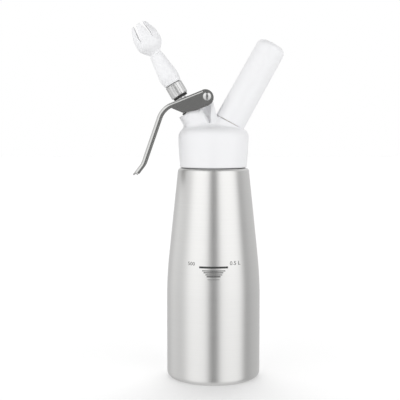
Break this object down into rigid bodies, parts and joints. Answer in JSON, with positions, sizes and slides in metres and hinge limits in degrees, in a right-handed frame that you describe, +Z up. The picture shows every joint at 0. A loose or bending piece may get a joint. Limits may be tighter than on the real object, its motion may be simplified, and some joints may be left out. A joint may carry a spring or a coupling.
{
  "type": "whipped cream dispenser",
  "caption": "Pressure bottle with a screw-on head, squeeze lever valve, slit tulip nozzle and a slanted screw-on holder over a small gas charger.",
  "frame": {"origin": "centre of the standing ring under the bottle, on the surface that it stands on", "axes": "+Z up along the bottle; the nozzle and the lever lean to -X, the charger holder to +X"},
  "size_m": [0.13, 0.08, 0.3056],
  "materials": {
    "bottle": "brushed",
    "white_plastic": "smooth moulded",
    "steel": "polished stainless",
    "adapter": "bright turned",
    "bush": "smooth",
    "rubber": "matt pale silicone",
    "brass": "turned",
    "charger": "plain drawn steel"
  },
  "bodies": {
    "bottle": {"bottle": "bottle"},
    "gasket": {"head_gasket": "rubber"},
    "head": {"head_cap": "white_plastic", "pivot_pin": "steel", "pin_cap": "steel", "valve_bush": "bush", "stem_seal": "rubber", "valve_spring": "steel", "piercing_body": "brass", "piercing_pin": "steel", "charger_seal": "rubber", "gas_check_valve": "rubber"},
    "lever": {"lever": "steel"},
    "valve": {"valve_stem": "steel", "valve_seal": "rubber", "valve_nut": "steel", "pressure_collar": "steel", "collar_clip": "steel", "adapter_nut": "adapter"},
    "nozzle_ring": {"nozzle_seal": "rubber"},
    "nozzle": {"tulip_nozzle": "white_plastic"},
    "charger": {"charger": "charger"},
    "holder": {"charger_holder": "white_plastic"}
  },
  "joints": [
    {"name": "head_lift", "type": "slide", "parent": "bottle", "child": "gasket", "axis": [0, 0, 1], "range_m": [0, 0.0088]},
    {"name": "head_turn", "type": "hinge", "parent": "gasket", "child": "head", "pos_m": [0, 0, 0.2069], "axis": [0, 0, 1], "range_deg": [0, 900]},
    {"name": "lever_pivot", "type": "hinge", "parent": "head", "child": "lever", "pos_m": [-0.00565, 0, 0.24062], "axis": [0, -1, 0], "range_deg": [0, 12]},
    {"name": "valve_slide", "type": "slide", "parent": "head", "child": "valve", "axis": [0.5075, 0, -0.8616], "range_m": [0, 0.0033], "stiffness_N_per_m": 400, "springref_m": -0.02, "deforming": ["valve_spring"]},
    {"name": "nozzle_slide", "type": "slide", "parent": "valve", "child": "nozzle_ring", "axis": [-0.5075, 0, 0.8616], "range_m": [0, 0.0061]},
    {"name": "nozzle_turn", "type": "hinge", "parent": "nozzle_ring", "child": "nozzle", "pos_m": [-0.03507, 0, 0.25254], "axis": [-0.5075, 0, 0.8616], "range_deg": [0, 1440]},
    {"name": "charger_slide", "type": "slide", "parent": "head", "child": "charger", "axis": [0.4848, 0, 0.8746], "range_m": [0, 0.0088]},
    {"name": "holder_turn", "type": "hinge", "parent": "charger", "child": "holder", "pos_m": [0.01406, 0, 0.21936], "axis": [0.4848, 0, 0.8746], "range_deg": [0, 1800]}
  ],
  "couplings": [
    {"joint": "head_lift", "follows": "head_turn", "m_per_rad": 0.00055704},
    {"joint": "valve_slide", "follows": "lever_pivot", "m_per_rad": 0.015279},
    {"joint": "nozzle_slide", "follows": "nozzle_turn", "m_per_rad": 0.00023873},
    {"joint": "charger_slide", "follows": "holder_turn", "m_per_rad": 0.00027852}
  ]
}
